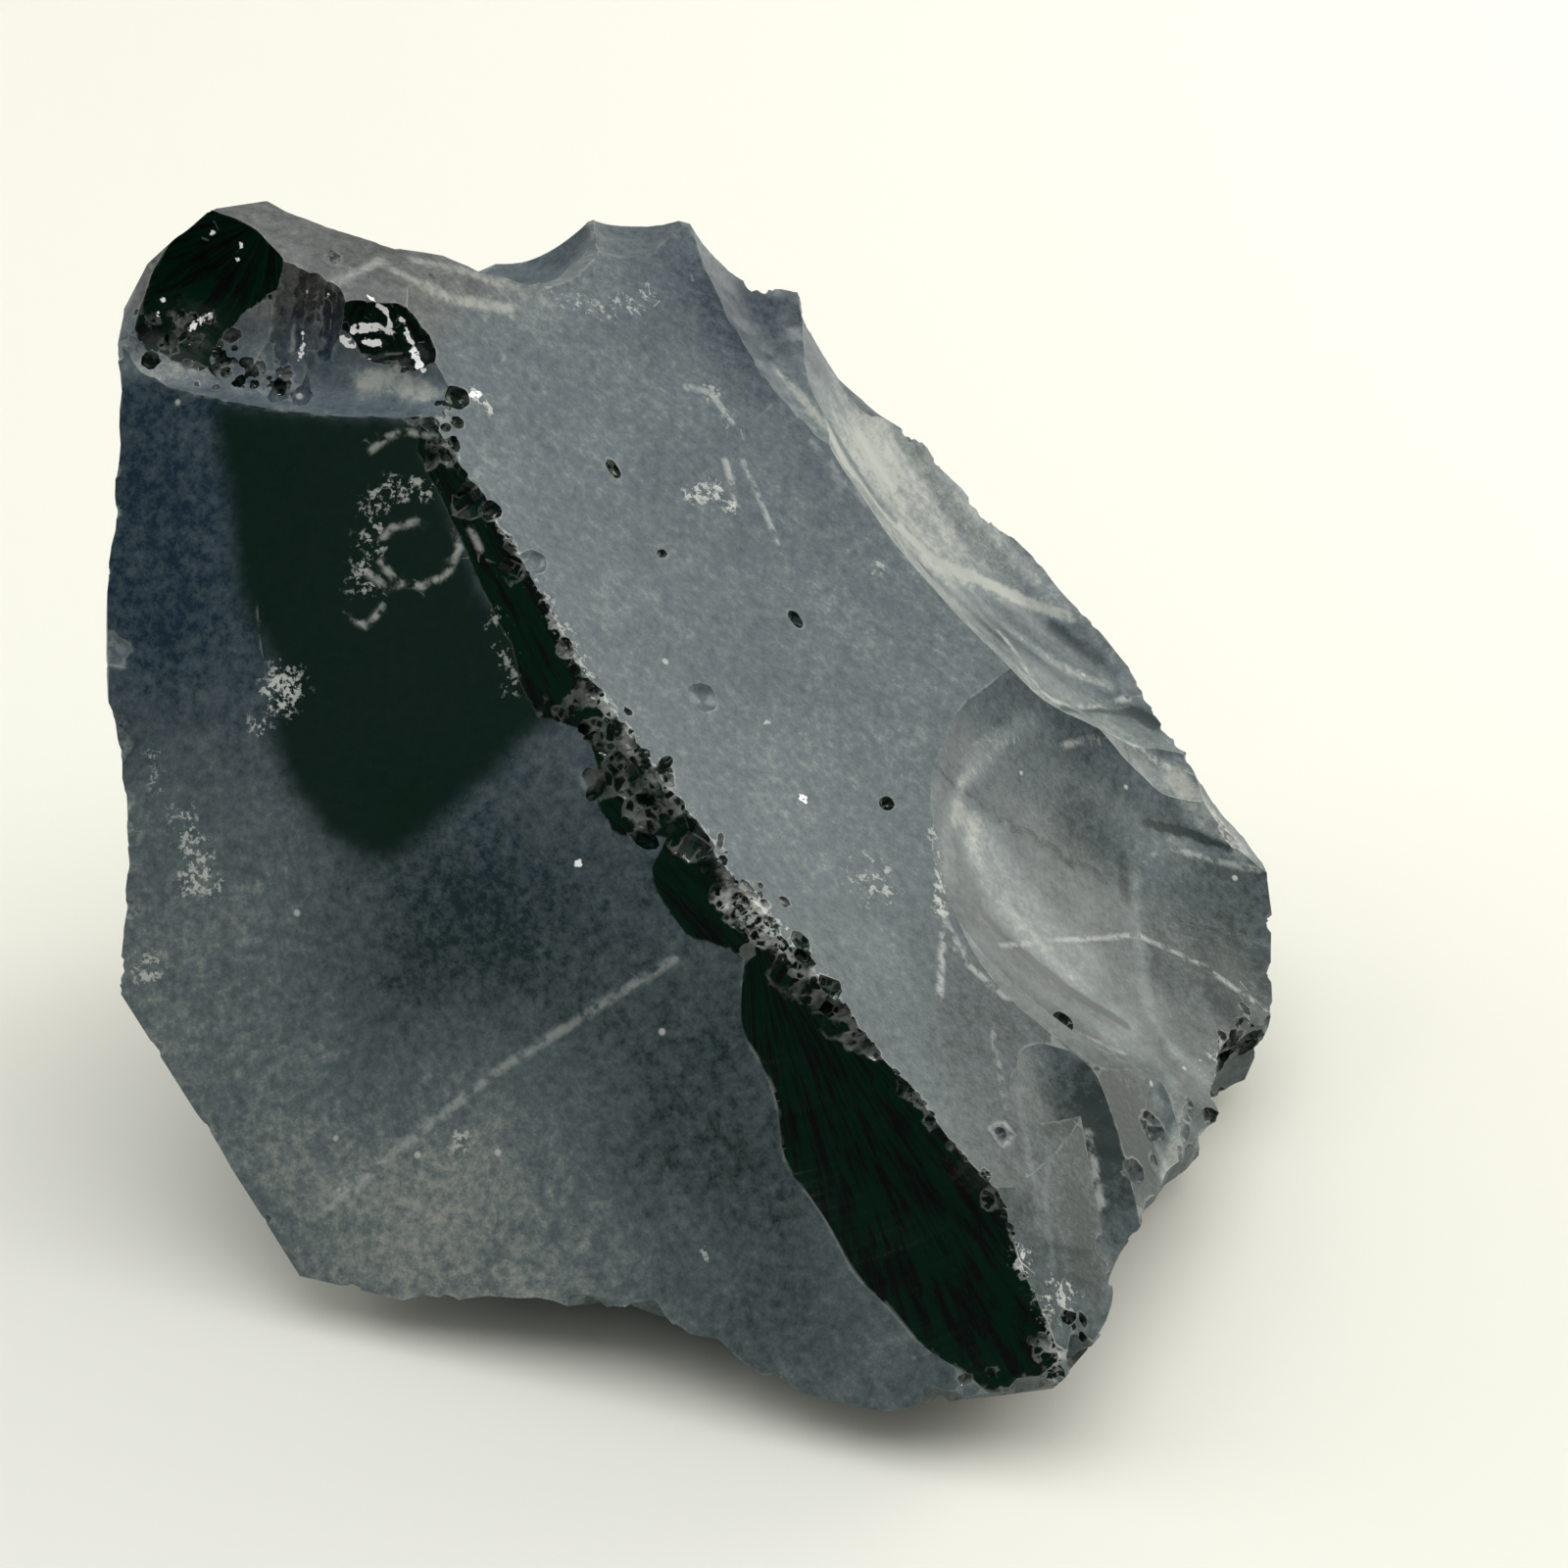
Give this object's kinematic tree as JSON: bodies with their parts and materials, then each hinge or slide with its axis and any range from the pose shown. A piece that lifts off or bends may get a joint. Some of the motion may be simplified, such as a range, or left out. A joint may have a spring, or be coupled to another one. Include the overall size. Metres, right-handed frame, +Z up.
{
  "type": "rough obsidian",
  "caption": "Broken lump of rough obsidian with a chipped ridge between a dark front break and a paler right break, resting on a small flat underside.",
  "frame": {"origin": "under the middle of the stone's footprint, on the surface that it rests on", "axes": "+X to the right along the front, +Y to the back, +Z up"},
  "size_m": [0.1152, 0.1013, 0.0899],
  "materials": {
    "obsidian": "satin"
  },
  "bodies": {
    "root": {"obsidian": "obsidian"}
  },
  "joints": []
}
